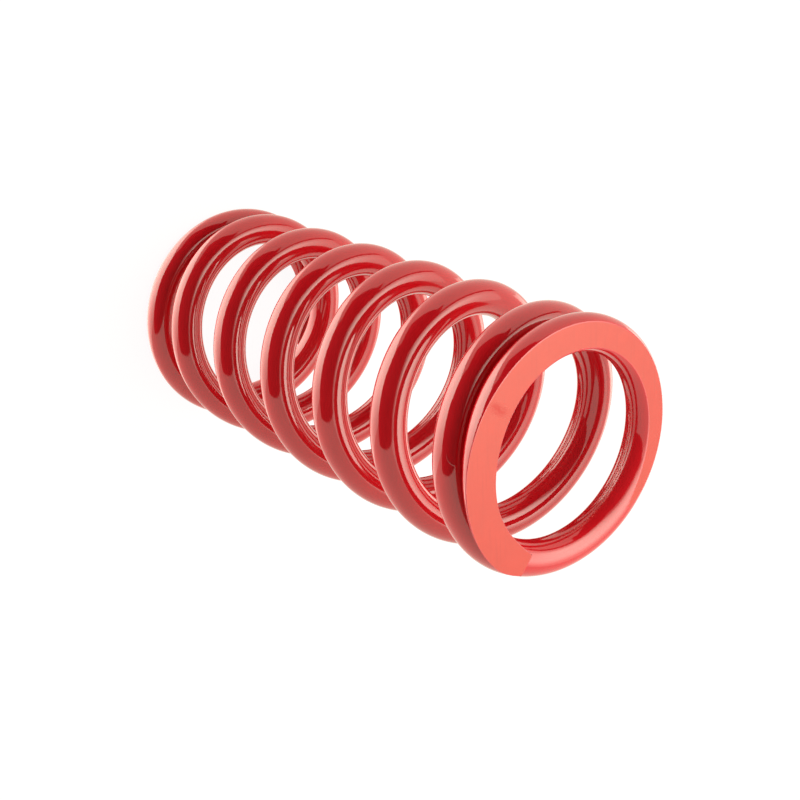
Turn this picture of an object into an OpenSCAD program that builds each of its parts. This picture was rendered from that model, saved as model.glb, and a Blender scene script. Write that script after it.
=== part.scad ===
// Coilover spring: one length of round steel wire wound right-handed into an open
// helix, with both ends wound closed and ground flat so that they seat on a perch.
// The spring stands on its lower ground end, with +Z along the coil's axis.

/* [Coil] */
// Diameter of the perch shoulder that centres the spring
perch_d = 63.5; // [60:0.5:70]
// Clearance between the perch shoulder and the inside of the coil, on the diameter
bore_clearance = 0.9; // [0.2:0.1:2]
// Diameter of the round wire
wire_d = 12.2; // [9:0.1:14]
// Free length between the two ground faces
free_length = 203.2; // [170:0.1:260]
// Turns of wire from the lower tip to the upper tip
turns = 7.75; // [6:0.05:8.5]

/* [Closed ends] */
// Thickness left at each tip when the end has been ground
tip_thickness = 3.3; // [2:0.1:5]
// Gap between each tip and the coil that it lies on
tip_gap = 0.3; // [0.1:0.05:1]
// Turns at each end that are wound closed
closed_turns = 0.45; // [0.2:0.05:0.5]
// Turns over which the pitch then opens to its full value
opening_turns = 1.2; // [0.8:0.05:1.5]
// How much further the end turn is pressed in behind its tip, away from the ground face
press_depth = 2.9; // [0:0.1:3.5]
// Turns from the tip to where the pressed part begins
press_start = 0.12; // [0.05:0.01:0.2]
// Turns from the tip to where it is deepest
press_deepest = 0.31; // [0.26:0.01:0.45]
// Turns from the tip to where it ends
press_end = 0.86; // [0.6:0.01:0.98]

/* [Mesh] */
// Rings along each turn of the wire
rings_per_turn = 40; // [24:1:42]
// Sides of the wire's round section
wire_sides = 18; // [12:1:18]

/* [Hidden] */

wire_r = wire_d / 2;
// Radius of the circle that the middle of the wire follows
coil_r = (perch_d + bore_clearance) / 2 + wire_r;
outer_r = coil_r + wire_r;

// Height of the wire's middle at a tip, below the ground face where the tip is thin
tip_z = tip_thickness - wire_r;
// Rise of the wire's middle from the lower tip to the upper tip
total_rise = free_length - 2 * tip_z;
// Rise over the first turn that lays the second turn on the tip
tip_rise = wire_d + tip_gap;

// Turns' worth of full pitch that an opening ramp has added after s turns of it
function ramp_area(s) =
    let (x = min(max(s / opening_turns, 0), 1))
    opening_turns * (pow(x, 3) - pow(x, 4) / 2) + max(s - opening_turns, 0);

// The pitch is closed_pitch at both tips and full_pitch between the two ramps.
// One condition puts the second turn on the tip, the other meets the free length.
ramp_at_one = ramp_area(1 - closed_turns);
closed_share = 2 * closed_turns + opening_turns;
full_pitch = (total_rise - tip_rise * closed_share / (1 - ramp_at_one))
    / (turns - closed_share / (1 - ramp_at_one));
closed_pitch = (tip_rise - full_pitch * ramp_at_one) / (1 - ramp_at_one);

// A smooth step from 0 to 1, between u = start and u = end
function smooth_step(u, start, end) =
    let (x = min(max((u - start) / (end - start), 0), 1))
    x * x * (3 - 2 * x);

// How far the end turn is pressed in, u turns from its tip
function pressed_in(u) = press_depth
    * (smooth_step(u, press_start, press_deepest) - smooth_step(u, press_deepest, press_end));

// Height of the wire's middle, u turns from the lower tip
function rise(u) = tip_z + closed_pitch * u
    + (full_pitch - closed_pitch)
    * (ramp_area(u - closed_turns) - ramp_area(turns - u - closed_turns)
        + ramp_area(turns - closed_turns) - u)
    + pressed_in(u) - pressed_in(turns - u);

ring_count = ceil(turns * rings_per_turn);
function ring_turn(i) = turns * i / ring_count;

function path_point(u) =
    [coil_r * cos(360 * u), coil_r * sin(360 * u), rise(u)];

// Direction of the wire, from the slope of the path around u
slope_step = 0.001;
function path_slope(u) =
    (rise(u + slope_step) - rise(u - slope_step)) / (2 * slope_step * 2 * PI * coil_r);

// One ring of the wire's section, square to the path
function ring(u) =
    let (
        outward = [cos(360 * u), sin(360 * u), 0],
        slope = path_slope(u),
        upward = [sin(360 * u) * slope, -cos(360 * u) * slope, 1] / sqrt(1 + slope * slope)
    )
    [for (k = [0 : wire_sides - 1])
        path_point(u)
            + wire_r * cos(360 * k / wire_sides) * outward
            + wire_r * sin(360 * k / wire_sides) * upward];

// The wire as it leaves the coiling machine, before its ends are ground
module wound_wire() {
    points = [for (i = [0 : ring_count]) each ring(ring_turn(i))];
    sides = [for (i = [0 : ring_count - 1], k = [0 : wire_sides - 1])
        let (
            a = i * wire_sides + k,
            b = i * wire_sides + (k + 1) % wire_sides
        )
        [a, b, b + wire_sides, a + wire_sides]];
    lower_cut = [for (k = [wire_sides - 1 : -1 : 0]) k];
    upper_cut = [for (k = [0 : wire_sides - 1]) ring_count * wire_sides + k];
    polyhedron(points, concat(sides, [lower_cut, upper_cut]), convexity = 20);
}

// What the grinding wheel takes off one end, from the ground face outwards
grind_margin = 2;
module ground_off() {
    side = 2 * (outer_r + grind_margin);
    translate([-side / 2, -side / 2, 0]) cube([side, side, wire_d]);
}

module coil_spring() {
    color("firebrick")
    difference() {
        wound_wire();
        translate([0, 0, -wire_d]) ground_off();
        translate([0, 0, free_length]) ground_off();
    }
}

coil_spring();
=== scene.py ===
import math

import bpy
from mathutils import Matrix, Quaternion, Vector
from mathutils.kdtree import KDTree


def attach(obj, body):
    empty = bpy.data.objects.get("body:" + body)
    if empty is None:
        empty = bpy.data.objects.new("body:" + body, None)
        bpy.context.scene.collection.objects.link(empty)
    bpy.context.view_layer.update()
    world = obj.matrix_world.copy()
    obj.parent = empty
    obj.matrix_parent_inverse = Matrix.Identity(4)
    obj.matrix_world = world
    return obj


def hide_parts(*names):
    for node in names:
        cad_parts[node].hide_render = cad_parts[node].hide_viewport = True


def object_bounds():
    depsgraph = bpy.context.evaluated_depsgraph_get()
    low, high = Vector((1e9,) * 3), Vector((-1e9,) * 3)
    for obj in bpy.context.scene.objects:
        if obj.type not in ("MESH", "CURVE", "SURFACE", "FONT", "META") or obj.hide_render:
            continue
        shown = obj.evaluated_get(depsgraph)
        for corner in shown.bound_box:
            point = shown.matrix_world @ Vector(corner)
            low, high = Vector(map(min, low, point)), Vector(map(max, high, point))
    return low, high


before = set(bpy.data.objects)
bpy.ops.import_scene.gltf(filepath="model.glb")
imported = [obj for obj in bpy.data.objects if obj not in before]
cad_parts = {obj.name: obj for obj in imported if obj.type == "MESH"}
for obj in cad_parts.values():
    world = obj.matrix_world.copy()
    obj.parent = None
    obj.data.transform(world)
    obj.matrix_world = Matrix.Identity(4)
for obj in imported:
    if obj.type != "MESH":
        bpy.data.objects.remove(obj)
cad_low, cad_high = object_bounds()


# The camera
# A short telephoto lens close to the upper end of the spring, looking down along it. The spring
# stands here and lies on its side in the picture, so the camera is rolled over by as much.
camera_place = Vector((-0.31101, -0.00917, 0.46156))
camera_aim = Vector((0.00005, -0.00675, 0.11924))
camera_roll = math.radians(113.987)
camera_lens = 57.42

camera = bpy.data.objects.new("camera", bpy.data.cameras.new("camera"))
bpy.context.scene.collection.objects.link(camera)
aimed = (camera_aim - camera_place).to_track_quat("-Z", "Y")
camera.rotation_mode = "QUATERNION"
camera.rotation_quaternion = aimed @ Quaternion((0, 0, 1), camera_roll)
camera.location = camera_place
camera.data.lens = camera_lens
camera.data.clip_start = 0.01
bpy.context.scene.camera = camera


# The spring
# One length of round spring steel wire, wound cold into an open right-handed helix. Its first and
# last turns are wound closed, and each end is ground flat to sit square on its perch.
wire_d = 0.0122
wire_r = wire_d / 2
turns = 7.75
tip_thickness = 0.0033
tip_gap = 0.0003
closed_turns = 0.45
opening_turns = 1.2
press_depth = 0.0029
press_start = 0.12
press_deepest = 0.31
press_end = 0.86
free_length = cad_high.z - cad_low.z
coil_r = (cad_high.x - cad_low.x) / 2 - wire_r

tip_height = tip_thickness - wire_r
total_rise = free_length - 2 * tip_height
tip_rise = wire_d + tip_gap


def ramp_area(s):
    """Turns' worth of full pitch that an opening ramp has added after s turns of it."""
    x = min(max(s / opening_turns, 0), 1)
    return opening_turns * (x ** 3 - x ** 4 / 2) + max(s - opening_turns, 0)


ramp_at_one = ramp_area(1 - closed_turns)
closed_share = 2 * closed_turns + opening_turns
full_pitch = (total_rise - tip_rise * closed_share / (1 - ramp_at_one)) / (
    turns - closed_share / (1 - ramp_at_one)
)
closed_pitch = (tip_rise - full_pitch * ramp_at_one) / (1 - ramp_at_one)


def smooth_step(turn, start, end):
    """A smooth step from 0 to 1 between two places along the wire."""
    x = min(max((turn - start) / (end - start), 0), 1)
    return x * x * (3 - 2 * x)


def pressed_in(turn):
    """How far the end turn is pressed in behind its tip, so many turns from it."""
    return press_depth * (
        smooth_step(turn, press_start, press_deepest) - smooth_step(turn, press_deepest, press_end)
    )


def wire_height(turn):
    """Height of the wire's middle, so many turns from the lower tip."""
    opened = (
        ramp_area(turn - closed_turns)
        - ramp_area(turns - turn - closed_turns)
        + ramp_area(turns - closed_turns)
    )
    wound = tip_height + closed_pitch * turn + (full_pitch - closed_pitch) * (opened - turn)
    return cad_low.z + wound + pressed_in(turn) - pressed_in(turns - turn)


# Both cut ends of the wire are drawn thinner and a little inwards, and sheared slightly askew
beyond_tip = 3.1 / 360
tapered_turns = 18 / 360
tip_taper = 0.22
taper_curve = 1.5
tip_tuck = 0.0003
skewed_turns = 4 / 360
tip_skew = 0.0003


def near_tip(turn, reach):
    """1 at a cut end of the wire, falling to 0 so many turns before it."""
    from_end = min(turn, turns - turn) + beyond_tip
    return min(max(1 - from_end / reach, 0), 1)


def wire_middle(turn):
    """Place of the wire's middle, so many turns from the lower tip."""
    angle = 2 * math.pi * turn
    tucked = tip_tuck * near_tip(turn, tapered_turns) ** 2
    skewed = tip_skew * near_tip(turn, skewed_turns) ** 2
    radius = coil_r - tucked + skewed
    return Vector((radius * math.cos(angle), radius * math.sin(angle), wire_height(turn)))


# The wire is wound: a round section swept along the helix, from one cut end to the other
steps_per_turn = 180
section_steps = 26
wound_turns = turns + 2 * beyond_tip
step_count = round(wound_turns * steps_per_turn)
winding = bpy.data.curves.new("wound_wire", "CURVE")
winding.dimensions = "3D"
winding.twist_mode = "Z_UP"
winding.bevel_depth = wire_r
winding.bevel_resolution = section_steps
strand = winding.splines.new("POLY")
strand.points.add(step_count)
for i, point in enumerate(strand.points):
    turn = wound_turns * i / step_count - beyond_tip
    point.co = (*wire_middle(turn), 1)
    point.radius = 1 - tip_taper * near_tip(turn, tapered_turns) ** taper_curve

spring = bpy.data.objects.new("red_spring", winding)
bpy.context.scene.collection.objects.link(spring)
bpy.ops.object.select_all(action="DESELECT")
spring.select_set(True)
bpy.context.view_layer.objects.active = spring
bpy.ops.object.convert(target="MESH")
spring = bpy.context.view_layer.objects.active


def select_edges(mesh, chosen):
    """Selects only the edges that the function chosen says yes to."""
    for polygon in mesh.polygons:
        polygon.select = False
    for edge in mesh.edges:
        edge.select = chosen(edge)


# Both cut ends of the wire are dressed round
tip_round = 0.0007
tip_round_steps = 5
bpy.ops.object.mode_set(mode="EDIT")
bpy.ops.mesh.select_mode(type="EDGE")
bpy.ops.mesh.select_all(action="SELECT")
bpy.ops.mesh.fill_holes(sides=0)
bpy.ops.mesh.select_all(action="SELECT")
bpy.ops.mesh.normals_make_consistent(inside=False)
bpy.ops.object.mode_set(mode="OBJECT")
end_faces = [polygon for polygon in spring.data.polygons if len(polygon.vertices) > 4]
end_rims = {key for polygon in end_faces for key in polygon.edge_keys}
select_edges(spring.data, lambda edge: edge.key in end_rims)
bpy.ops.object.mode_set(mode="EDIT")
bpy.ops.mesh.bevel(offset=tip_round, segments=tip_round_steps, affect="EDGES", clamp_overlap=False)

# The wheel then grinds each end flat
same_place = 0.000001
for height, outwards in ((cad_low.z, -1), (cad_high.z, 1)):
    bpy.ops.mesh.select_all(action="SELECT")
    bpy.ops.mesh.bisect(
        plane_co=(0, 0, height),
        plane_no=(0, 0, outwards),
        use_fill=True,
        clear_outer=True,
        threshold=same_place,
    )
bpy.ops.object.mode_set(mode="OBJECT")
level_enough = 0.9999


def is_ground(polygon):
    """True for a face of the mesh that lies in one of the two ground planes."""
    z = polygon.center.z
    off_plane = min(abs(z - cad_low.z), abs(z - cad_high.z))
    return abs(polygon.normal.z) > level_enough and off_plane < 10 * same_place


# The mesh lines that run along the wire close beside a ground face are dissolved, so that the edge
# can be rounded evenly
mesh = spring.data
clear_of_edge = 0.0006
along_enough = 0.8
rim_points = {i for polygon in mesh.polygons if is_ground(polygon) for i in polygon.vertices}
rim_tree = KDTree(len(rim_points))
for i in rim_points:
    rim_tree.insert(mesh.vertices[i].co, i)
rim_tree.balance()
beside_rim = {v.index for v in mesh.vertices if rim_tree.find(v.co)[2] < clear_of_edge}


def runs_beside_rim(edge):
    """True for an edge that runs along the wire, close beside a ground face but not on its rim."""
    ends = [mesh.vertices[i] for i in edge.vertices]
    middle = (ends[0].co + ends[1].co) / 2
    along_wire = Vector((-middle.y, middle.x, 0)).normalized()
    lengthwise = abs((ends[0].co - ends[1].co).normalized().dot(along_wire)) > along_enough
    near = all(v.index in beside_rim for v in ends) and not all(v.index in rim_points for v in ends)
    return lengthwise and near


select_edges(mesh, runs_beside_rim)
bpy.ops.object.mode_set(mode="EDIT")
bpy.ops.mesh.dissolve_edges(use_verts=True)
bpy.ops.object.mode_set(mode="OBJECT")

# A small round goes along each ground face, as far as the face is wide
edge_round = 0.00035
edge_round_steps = 3
edge_fullness = 0.6
least_flat = 0.0016
back_at_tip = 0.9


def flat_width(point):
    """Width of the ground face where an edge's middle is, from the height of the wire there."""
    turn = math.atan2(point.y, point.x) / (2 * math.pi) % 1
    if point.z > (cad_low.z + cad_high.z) / 2:
        turn = (turns - turn) % 1
    depth = wire_height(turn) - cad_low.z if turn < back_at_tip else tip_height
    return 2 * math.sqrt(max(wire_r ** 2 - depth ** 2, 0))


mesh = spring.data
faces_at_edge = {}
for polygon in mesh.polygons:
    for key in polygon.edge_keys:
        faces_at_edge.setdefault(key, []).append(is_ground(polygon))


def at_wide_rim(edge):
    """True for an edge on the rim of a ground face, where that face isn't too narrow to round."""
    middle = (mesh.vertices[edge.vertices[0]].co + mesh.vertices[edge.vertices[1]].co) / 2
    at_rim = len(set(faces_at_edge[edge.key])) == 2
    return at_rim and flat_width(middle) > least_flat


select_edges(mesh, at_wide_rim)
bpy.ops.object.mode_set(mode="EDIT")
bpy.ops.mesh.bevel(
    offset=edge_round,
    segments=edge_round_steps,
    profile=edge_fullness,
    affect="EDGES",
    clamp_overlap=False,
)
bpy.ops.object.mode_set(mode="OBJECT")
smooth_below = math.radians(34)
bpy.ops.object.shade_smooth_by_angle(angle=smooth_below)
weighted = spring.modifiers.new("weighted", "WEIGHTED_NORMAL")
weighted.keep_sharp = True
bpy.ops.object.modifier_apply(modifier=weighted.name)


# The coat
# A red powder coat, baked to a high gloss over the whole wire, ground faces too, where it is drier.
# It is slightly wavy, and it has a rubbed line, a caught hair and a smudge at the upper end.
def new_material(name):
    """A fresh material, with its nodes and links."""
    material = bpy.data.materials.new(name)
    material.use_nodes = True
    return material, material.node_tree.nodes, material.node_tree.links


coat_effect = bpy.data.node_groups.new("powder_coat", "ShaderNodeTree")
coat_face = coat_effect.interface
for socket_name, kind, value in (
    ("Thin Colour", "NodeSocketColor", (1, 1, 1, 1)),
    ("Thick Colour", "NodeSocketColor", (1, 1, 1, 1)),
    ("Cloud Size", "NodeSocketFloat", 0.01),
    ("Peel Size", "NodeSocketFloat", 0.001),
    ("Least Roughness", "NodeSocketFloat", 0.05),
    ("Most Roughness", "NodeSocketFloat", 0.1),
):
    socket = coat_face.new_socket(name=socket_name, in_out="INPUT", socket_type=kind)
    socket.default_value = value
for socket_name, kind in (
    ("Colour", "NodeSocketColor"),
    ("Roughness", "NodeSocketFloat"),
    ("Wave", "NodeSocketFloat"),
    ("Peel", "NodeSocketFloat"),
):
    coat_face.new_socket(name=socket_name, in_out="OUTPUT", socket_type=kind)
nodes, links = coat_effect.nodes, coat_effect.links
group_in = nodes.new("NodeGroupInput")
group_out = nodes.new("NodeGroupOutput")
place = nodes.new("ShaderNodeTexCoord").outputs["Object"]


def one_over(tree, size_socket):
    """A noise scale from a size in metres."""
    divide = tree.nodes.new("ShaderNodeMath")
    divide.operation = "DIVIDE"
    divide.inputs[0].default_value = 1
    tree.links.new(size_socket, divide.inputs[1])
    return divide.outputs[0]


clouds = nodes.new("ShaderNodeTexNoise")
clouds.inputs["Detail"].default_value = 3
clouds.inputs["Roughness"].default_value = 0.6
links.new(place, clouds.inputs["Vector"])
links.new(one_over(coat_effect, group_in.outputs["Cloud Size"]), clouds.inputs["Scale"])
peel = nodes.new("ShaderNodeTexNoise")
peel.inputs["Detail"].default_value = 1
peel.inputs["Roughness"].default_value = 0.4
links.new(place, peel.inputs["Vector"])
links.new(one_over(coat_effect, group_in.outputs["Peel Size"]), peel.inputs["Scale"])

spread = nodes.new("ShaderNodeMapRange")
spread.inputs["From Min"].default_value = 0.3
spread.inputs["From Max"].default_value = 0.7
links.new(clouds.outputs["Fac"], spread.inputs["Value"])
thickness = nodes.new("ShaderNodeMix")
thickness.data_type = "RGBA"
links.new(spread.outputs["Result"], thickness.inputs["Factor"])
links.new(group_in.outputs["Thin Colour"], thickness.inputs["A"])
links.new(group_in.outputs["Thick Colour"], thickness.inputs["B"])
dullness = nodes.new("ShaderNodeMapRange")
dullness.inputs["From Min"].default_value = 0.3
dullness.inputs["From Max"].default_value = 0.75
links.new(clouds.outputs["Fac"], dullness.inputs["Value"])
links.new(group_in.outputs["Least Roughness"], dullness.inputs["To Min"])
links.new(group_in.outputs["Most Roughness"], dullness.inputs["To Max"])
links.new(thickness.outputs["Result"], group_out.inputs["Colour"])
links.new(dullness.outputs["Result"], group_out.inputs["Roughness"])
links.new(clouds.outputs["Fac"], group_out.inputs["Wave"])
links.new(peel.outputs["Fac"], group_out.inputs["Peel"])


def add_node(tree, kind, operation=None):
    """A new node in that tree, set to that operation."""
    node = tree.nodes.new(kind)
    if operation:
        node.operation = operation
    return node


def ramp(tree, value, start, end):
    """0 where the value is at start, 1 where it is at end, smooth in between."""
    node = add_node(tree, "ShaderNodeMapRange")
    node.interpolation_type = "SMOOTHSTEP"
    node.inputs["From Min"].default_value = start
    node.inputs["From Max"].default_value = end
    tree.links.new(value, node.inputs["Value"])
    return node.outputs["Result"]


def product(tree, first, *others):
    """All the masks multiplied."""
    for other in others:
        node = add_node(tree, "ShaderNodeMath", "MULTIPLY")
        tree.links.new(first, node.inputs[0])
        tree.links.new(other, node.inputs[1])
        first = node.outputs[0]
    return first


def distance_from(tree, vector, point):
    """How far the surface is from a point."""
    node = add_node(tree, "ShaderNodeVectorMath", "DISTANCE")
    node.inputs[1].default_value = point
    tree.links.new(vector, node.inputs[0])
    return node.outputs["Value"]


def off_by(tree, value, level):
    """How far a value is from a level, either way."""
    take = add_node(tree, "ShaderNodeMath", "SUBTRACT")
    take.inputs[1].default_value = level
    tree.links.new(value, take.inputs[0])
    size = add_node(tree, "ShaderNodeMath", "ABSOLUTE")
    tree.links.new(take.outputs[0], size.inputs[0])
    return size.outputs[0]


def colour_over(tree, mask, under, colour):
    """A plain colour laid over another where the mask is."""
    node = add_node(tree, "ShaderNodeMix")
    node.data_type = "RGBA"
    tree.links.new(mask, node.inputs["Factor"])
    tree.links.new(under, node.inputs["A"])
    node.inputs["B"].default_value = colour
    return node.outputs["Result"]


def value_over(tree, mask, under, value):
    """A plain value laid over another where the mask is."""
    node = add_node(tree, "ShaderNodeMix")
    tree.links.new(mask, node.inputs["Factor"])
    tree.links.new(under, node.inputs["A"])
    node.inputs["B"].default_value = value
    return node.outputs["Result"]


def bump(tree, height, depth, over=None):
    """Relief of that depth in metres, over another relief."""
    node = add_node(tree, "ShaderNodeBump")
    node.inputs["Distance"].default_value = depth
    tree.links.new(height, node.inputs["Height"])
    if over:
        tree.links.new(over, node.inputs["Normal"])
    return node.outputs["Normal"]


def stretched_noise(tree, vector, size, turned=0):
    """Noise whose spots have that size along each direction, turned about Z."""
    stretch = add_node(tree, "ShaderNodeMapping")
    stretch.vector_type = "TEXTURE"
    stretch.inputs["Rotation"].default_value = (0, 0, turned)
    stretch.inputs["Scale"].default_value = size
    tree.links.new(vector, stretch.inputs["Vector"])
    noise = add_node(tree, "ShaderNodeTexNoise")
    noise.inputs["Scale"].default_value = 1
    noise.inputs["Detail"].default_value = 2
    tree.links.new(stretch.outputs["Vector"], noise.inputs["Vector"])
    return noise.outputs["Fac"]


# The gloss coat on the round of the wire
red_coat, nodes, links = new_material("red_coat")
tree = red_coat.node_tree
shader = nodes["Principled BSDF"]
shader.inputs["Specular IOR Level"].default_value = 0.75
coat = nodes.new("ShaderNodeGroup")
coat.node_tree = coat_effect
coat.inputs["Thin Colour"].default_value = (0.435, 0.0045, 0.0090, 1)
coat.inputs["Thick Colour"].default_value = (0.465, 0.0055, 0.0105, 1)
coat.inputs["Cloud Size"].default_value = 0.009
coat.inputs["Peel Size"].default_value = 0.0011
coat.inputs["Least Roughness"].default_value = 0.05
coat.inputs["Most Roughness"].default_value = 0.09
place = nodes.new("ShaderNodeTexCoord").outputs["Object"]
apart = nodes.new("ShaderNodeSeparateXYZ")
links.new(place, apart.inputs[0])
flattened = nodes.new("ShaderNodeMapping")
flattened.inputs["Scale"].default_value = (1, 1, 0)
links.new(place, flattened.inputs["Vector"])

# A rubbed line along the inside of the upper end turn, where a mandrel has touched it
bore_r = coil_r - wire_r
rubbed_height = cad_high.z - 0.0056
rubbed_half_width = 0.0004
rubbed_faded_at = 0.0013
rubbed_deep = bore_r + 0.0002
rubbed_shallow = bore_r + 0.0007
rubbed_starts = 0.012
rubbed_full = 0.022
speckle_size = (0.0006, 0.0006, 0.0004)
speckles_start = 0.44
speckles_full = 0.66
rubbed_red = (0.52, 0.045, 0.04, 1)
rubbed_roughness = 0.4
from_axis = distance_from(tree, flattened.outputs["Vector"], (0, 0, 0))
inside = ramp(tree, from_axis, rubbed_shallow, rubbed_deep)
off_line = off_by(tree, apart.outputs["Z"], rubbed_height)
band = ramp(tree, off_line, rubbed_faded_at, rubbed_half_width)
one_side = ramp(tree, apart.outputs["X"], rubbed_starts, rubbed_full)
speckle_noise = stretched_noise(tree, place, speckle_size)
speckles = ramp(tree, speckle_noise, speckles_start, speckles_full)
rubbed = product(tree, inside, band, one_side, speckles)

# A hair caught under the coat of the next turn
hair_middle = (-0.0390, -0.0178, 0.1932)
hair_arc_centre = (-0.0384, -0.0150, 0.1952)
hair_arc_radius = 0.0035
hair_half_width = 0.00008
hair_faded_at = 0.00030
hair_half_length = 0.0018
hair_ends_at = 0.0026
hair_red = (0.38, 0.013, 0.015, 1)
hair_relief = 0.00004
off_arc = off_by(tree, distance_from(tree, place, hair_arc_centre), hair_arc_radius)
hair_line = ramp(tree, off_arc, hair_faded_at, hair_half_width)
hair_length = ramp(tree, distance_from(tree, place, hair_middle), hair_ends_at, hair_half_length)
hair = product(tree, hair_line, hair_length)

wave_relief = 0.000004
peel_relief = 0.0000004
colour = colour_over(tree, rubbed, coat.outputs["Colour"], rubbed_red)
colour = colour_over(tree, hair, colour, hair_red)
links.new(colour, shader.inputs["Base Color"])
dull = value_over(tree, rubbed, coat.outputs["Roughness"], rubbed_roughness)
links.new(dull, shader.inputs["Roughness"])
relief = bump(tree, coat.outputs["Wave"], wave_relief)
relief = bump(tree, coat.outputs["Peel"], peel_relief, relief)
relief = bump(tree, hair, hair_relief, relief)
links.new(relief, shader.inputs["Normal"])

# The drier coat on the ground faces, over the faint lay of the grinding wheel
ground_coat, nodes, links = new_material("red_coat_on_ground_face")
tree = ground_coat.node_tree
shader = nodes["Principled BSDF"]
shader.inputs["Specular IOR Level"].default_value = 0.66
shader.inputs["Specular Tint"].default_value = (1.0, 0.92, 0.80, 1)
coat = nodes.new("ShaderNodeGroup")
coat.node_tree = coat_effect
coat.inputs["Thin Colour"].default_value = (0.41, 0.010, 0.003, 1)
coat.inputs["Thick Colour"].default_value = (0.44, 0.012, 0.004, 1)
coat.inputs["Cloud Size"].default_value = 0.006
coat.inputs["Peel Size"].default_value = 0.0009
coat.inputs["Least Roughness"].default_value = 0.19
coat.inputs["Most Roughness"].default_value = 0.26
place = nodes.new("ShaderNodeTexCoord").outputs["Object"]
grinding_lay = math.radians(-54.4)
lay_size = (0.02, 0.0012, 0.02)
streaks_start = 0.52
streaks_full = 0.72
lay_red = (0.40, 0.010, 0.003, 1)
lay_relief = 0.000004
lay = stretched_noise(tree, place, lay_size, grinding_lay)
streaks = ramp(tree, lay, streaks_start, streaks_full)

# A dull smudge across the upper face, near the narrow part
smudge_centre = (-0.0390, 0.0020, cad_high.z)
smudge_size = (0.0052, 0.0021, 0.0014)
smudge_full_at = 0.3
smudge_gone_at = 1.3
smudge_grain_size = (0.0012, 0.0006, 0.001)
smudge_grain_start = 0.25
smudge_grain_full = 0.6
smudge_red = (0.40, 0.003, 0.002, 1)
smudge_roughness = 0.6
around_smudge = nodes.new("ShaderNodeMapping")
around_smudge.vector_type = "TEXTURE"
around_smudge.inputs["Location"].default_value = smudge_centre
around_smudge.inputs["Scale"].default_value = smudge_size
links.new(place, around_smudge.inputs["Vector"])
from_smudge = distance_from(tree, around_smudge.outputs["Vector"], (0, 0, 0))
smudge = ramp(tree, from_smudge, smudge_gone_at, smudge_full_at)
smudge_noise = stretched_noise(tree, place, smudge_grain_size)
smudge_grain = ramp(tree, smudge_noise, smudge_grain_start, smudge_grain_full)
smudge = product(tree, smudge, smudge_grain)

wave_relief = 0.00003
peel_relief = 0.000006
colour = colour_over(tree, streaks, coat.outputs["Colour"], lay_red)
colour = colour_over(tree, smudge, colour, smudge_red)
links.new(colour, shader.inputs["Base Color"])
dull = value_over(tree, smudge, coat.outputs["Roughness"], smudge_roughness)
links.new(dull, shader.inputs["Roughness"])
relief = bump(tree, coat.outputs["Wave"], wave_relief)
relief = bump(tree, coat.outputs["Peel"], peel_relief, relief)
relief = bump(tree, lay, lay_relief, relief)
links.new(relief, shader.inputs["Normal"])

spring.data.materials.append(red_coat)
spring.data.materials.append(ground_coat)
for polygon in spring.data.polygons:
    polygon.material_index = 1 if is_ground(polygon) else 0

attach(spring, "root")
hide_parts("coil_spring")


# The floor
# A plain white sheet of matt paper under the spring, wide enough to fill the picture. It is lit
# from behind, so that it stays white, and it keeps the spring's faint shadow.
floor_side = 6
floor_grey = 0.08
floor_glow = 0.93
bpy.ops.object.select_all(action="DESELECT")
bpy.ops.mesh.primitive_plane_add(size=floor_side, location=(0, 0, cad_low.z))
floor = bpy.context.active_object
floor.name = "floor"
floor_paint, nodes, links = new_material("floor_white")
nodes.clear()
out = nodes.new("ShaderNodeOutputMaterial")
add = nodes.new("ShaderNodeAddShader")
matt = nodes.new("ShaderNodeBsdfDiffuse")
matt.inputs["Color"].default_value = (floor_grey, floor_grey, floor_grey, 1)
glow = nodes.new("ShaderNodeEmission")
glow.inputs["Strength"].default_value = floor_glow
links.new(matt.outputs[0], add.inputs[0])
links.new(glow.outputs[0], add.inputs[1])
links.new(add.outputs[0], out.inputs["Surface"])
floor.data.materials.append(floor_paint)
floor.visible_glossy = False
floor.visible_diffuse = False
floor.visible_shadow = False
floor.visible_transmission = False


# The studio
# White walls all round, with a long soft panel on the left of the picture, a smaller one on its
# right and a third behind. Black cloth hangs on the camera's side and over it, so that the deep
# red shows between the panels. The room's own directions are turned from the camera's.
picture = camera.rotation_quaternion.to_matrix()
right, up, toward = picture.col[0], picture.col[1], picture.col[2]
studio_turn = math.radians(23)
room_x = right * math.cos(studio_turn) + toward * math.sin(studio_turn)
room_z = toward * math.cos(studio_turn) - right * math.sin(studio_turn)
centre = Vector((0, -0.00675, 0.11))


def in_room(x, y, z):
    """A direction in the room: to the right, up in the picture, and towards the camera's side."""
    return room_x * x + up * y + room_z * z


def facing_in(corner, along, across):
    """Placement of a sheet in the room by a corner and two sides, its local Z away from the spring."""
    start, side, other_side = centre + in_room(*corner), in_room(*along), in_room(*across)
    middle = start + (side + other_side) / 2
    outwards = side.cross(other_side).normalized()
    if outwards.dot(middle - centre) < 0:
        outwards = -outwards
    x_axis = side.normalized()
    y_axis = outwards.cross(x_axis)
    return Matrix.Translation(middle) @ Matrix((x_axis, y_axis, outwards)).transposed().to_4x4()


lamp_warmth = (1.0, 0.97, 0.84)


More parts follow.
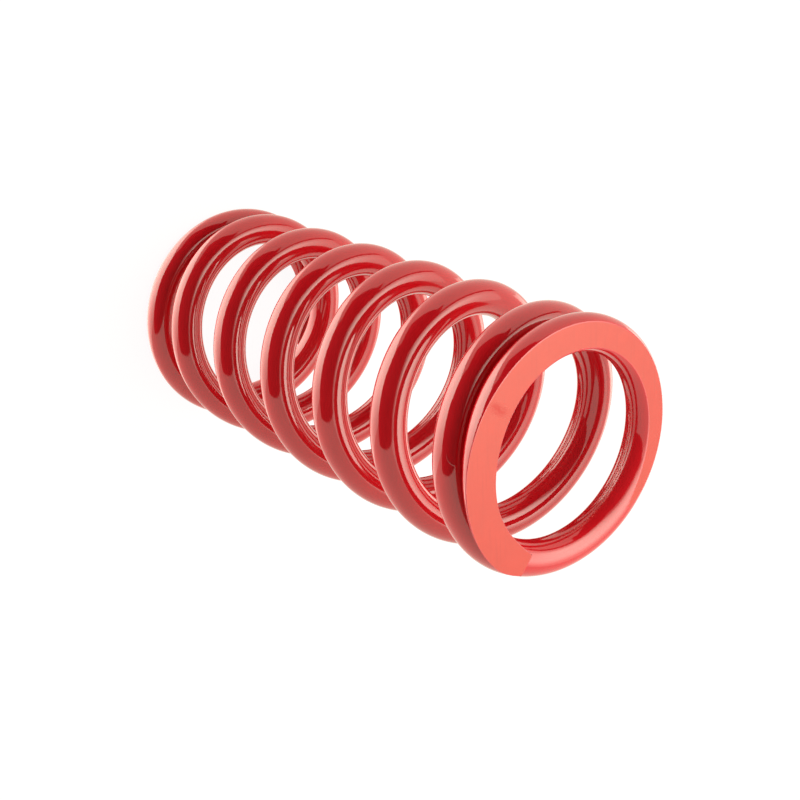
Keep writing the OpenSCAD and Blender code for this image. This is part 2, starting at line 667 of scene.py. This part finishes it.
def soft_panel(name, corner, along, across, middle_light, rim_light, fade_along, fade_across):
    """A lit panel. It is rim_light at its rim and middle_light inside, as times plain white, and
    each pair of fades gives how far in from its two ends the light rises."""
    length, width = Vector(along).length, Vector(across).length
    lamp = bpy.data.lights.new(name, "AREA")
    lamp.shape = "RECTANGLE"
    lamp.size = length
    lamp.size_y = width
    lamp.energy = math.pi * length * width
    lamp.color = lamp_warmth
    lamp.use_nodes = True
    panel = bpy.data.objects.new(name, lamp)
    panel.matrix_world = facing_in(corner, along, across)
    bpy.context.scene.collection.objects.link(panel)
    panel.visible_camera = False

    tree = lamp.node_tree
    spot = add_node(tree, "ShaderNodeNewGeometry")
    apart = add_node(tree, "ShaderNodeSeparateXYZ")
    tree.links.new(spot.outputs["Parametric"], apart.inputs[0])
    if panel.matrix_world.col[1].to_3d().dot(in_room(*across)) < 0:
        fade_across = fade_across[::-1]
    light = product(
        tree,
        ramp(tree, apart.outputs["X"], 0, fade_along[0] / length),
        ramp(tree, apart.outputs["X"], 1, 1 - fade_along[1] / length),
        ramp(tree, apart.outputs["Y"], 0, fade_across[0] / width),
        ramp(tree, apart.outputs["Y"], 1, 1 - fade_across[1] / width),
    )
    strength = add_node(tree, "ShaderNodeMapRange")
    strength.inputs["To Min"].default_value = rim_light
    strength.inputs["To Max"].default_value = middle_light
    tree.links.new(light, strength.inputs["Value"])
    emission = next(node for node in tree.nodes if node.type == "EMISSION")
    tree.links.new(strength.outputs["Result"], emission.inputs["Strength"])


soft_panel(
    "left_panel",
    corner=(-1.2, -0.4, -0.9),
    along=(0, 0, 2.4),
    across=(0, 2.0, 0),
    middle_light=4.3,
    rim_light=1.15,
    fade_along=(1.25, 0.05),
    fade_across=(0.98, 0.05),
)
soft_panel(
    "right_panel",
    corner=(1.2, -1.05, -0.75),
    along=(0, 0, 2.1),
    across=(0, 1.7, 0),
    middle_light=4.6,
    rim_light=0.7,
    fade_along=(0.85, 1.1),
    fade_across=(0.75, 0.4),
)
soft_panel(
    "back_panel",
    corner=(0.4, -0.5, -1.5),
    along=(0.8, 0, 0),
    across=(0, 1.2, 0),
    middle_light=2.3,
    rim_light=1.2,
    fade_along=(0.3, 0.05),
    fade_across=(0.3, 0.3),
)

cloth_grey = (0.035, 0.035, 0.04, 1)
black_cloth, nodes, links = new_material("black_cloth")
nodes["Principled BSDF"].inputs["Base Color"].default_value = cloth_grey
nodes["Principled BSDF"].inputs["Specular IOR Level"].default_value = 0


def black_sheet(name, corner, along, across):
    """A hanging black sheet, which the camera doesn't see."""
    bpy.ops.mesh.primitive_plane_add(size=1)
    sheet = bpy.context.active_object
    sheet.name = name
    size = Matrix.Diagonal((Vector(along).length, Vector(across).length, 1, 1))
    sheet.matrix_world = facing_in(corner, along, across) @ size
    sheet.data.materials.append(black_cloth)
    sheet.visible_camera = False


black_sheet("cloth_in_front", (-1.1, -0.87, 1.3), (2.75, 0, 0), (0, 1.62, 0))
black_sheet("cloth_high_in_front", (-0.95, 0.75, 1.3), (2.6, 0, 0), (0, 0.8, 0))
black_sheet("cloth_above", (-0.6, 1.55, 0.5), (1.8, 0, 0), (0, 0, 0.8))
black_sheet("cloth_on_right", (1.18, 0.65, 0.3), (0, 0, 1.0), (0, 0.95, 0))
black_sheet("strip_on_right", (1.18, 0.66, -0.85), (0, 0, 1.15), (0, 0.17, 0))

wall_light = 1.2
world = bpy.data.worlds.new("white_room")
bpy.context.scene.world = world
world.use_nodes = True
background = world.node_tree.nodes["Background"]
background.inputs["Color"].default_value = (*lamp_warmth, 1)
background.inputs["Strength"].default_value = wall_light

bpy.context.scene.view_settings.view_transform = "Standard"
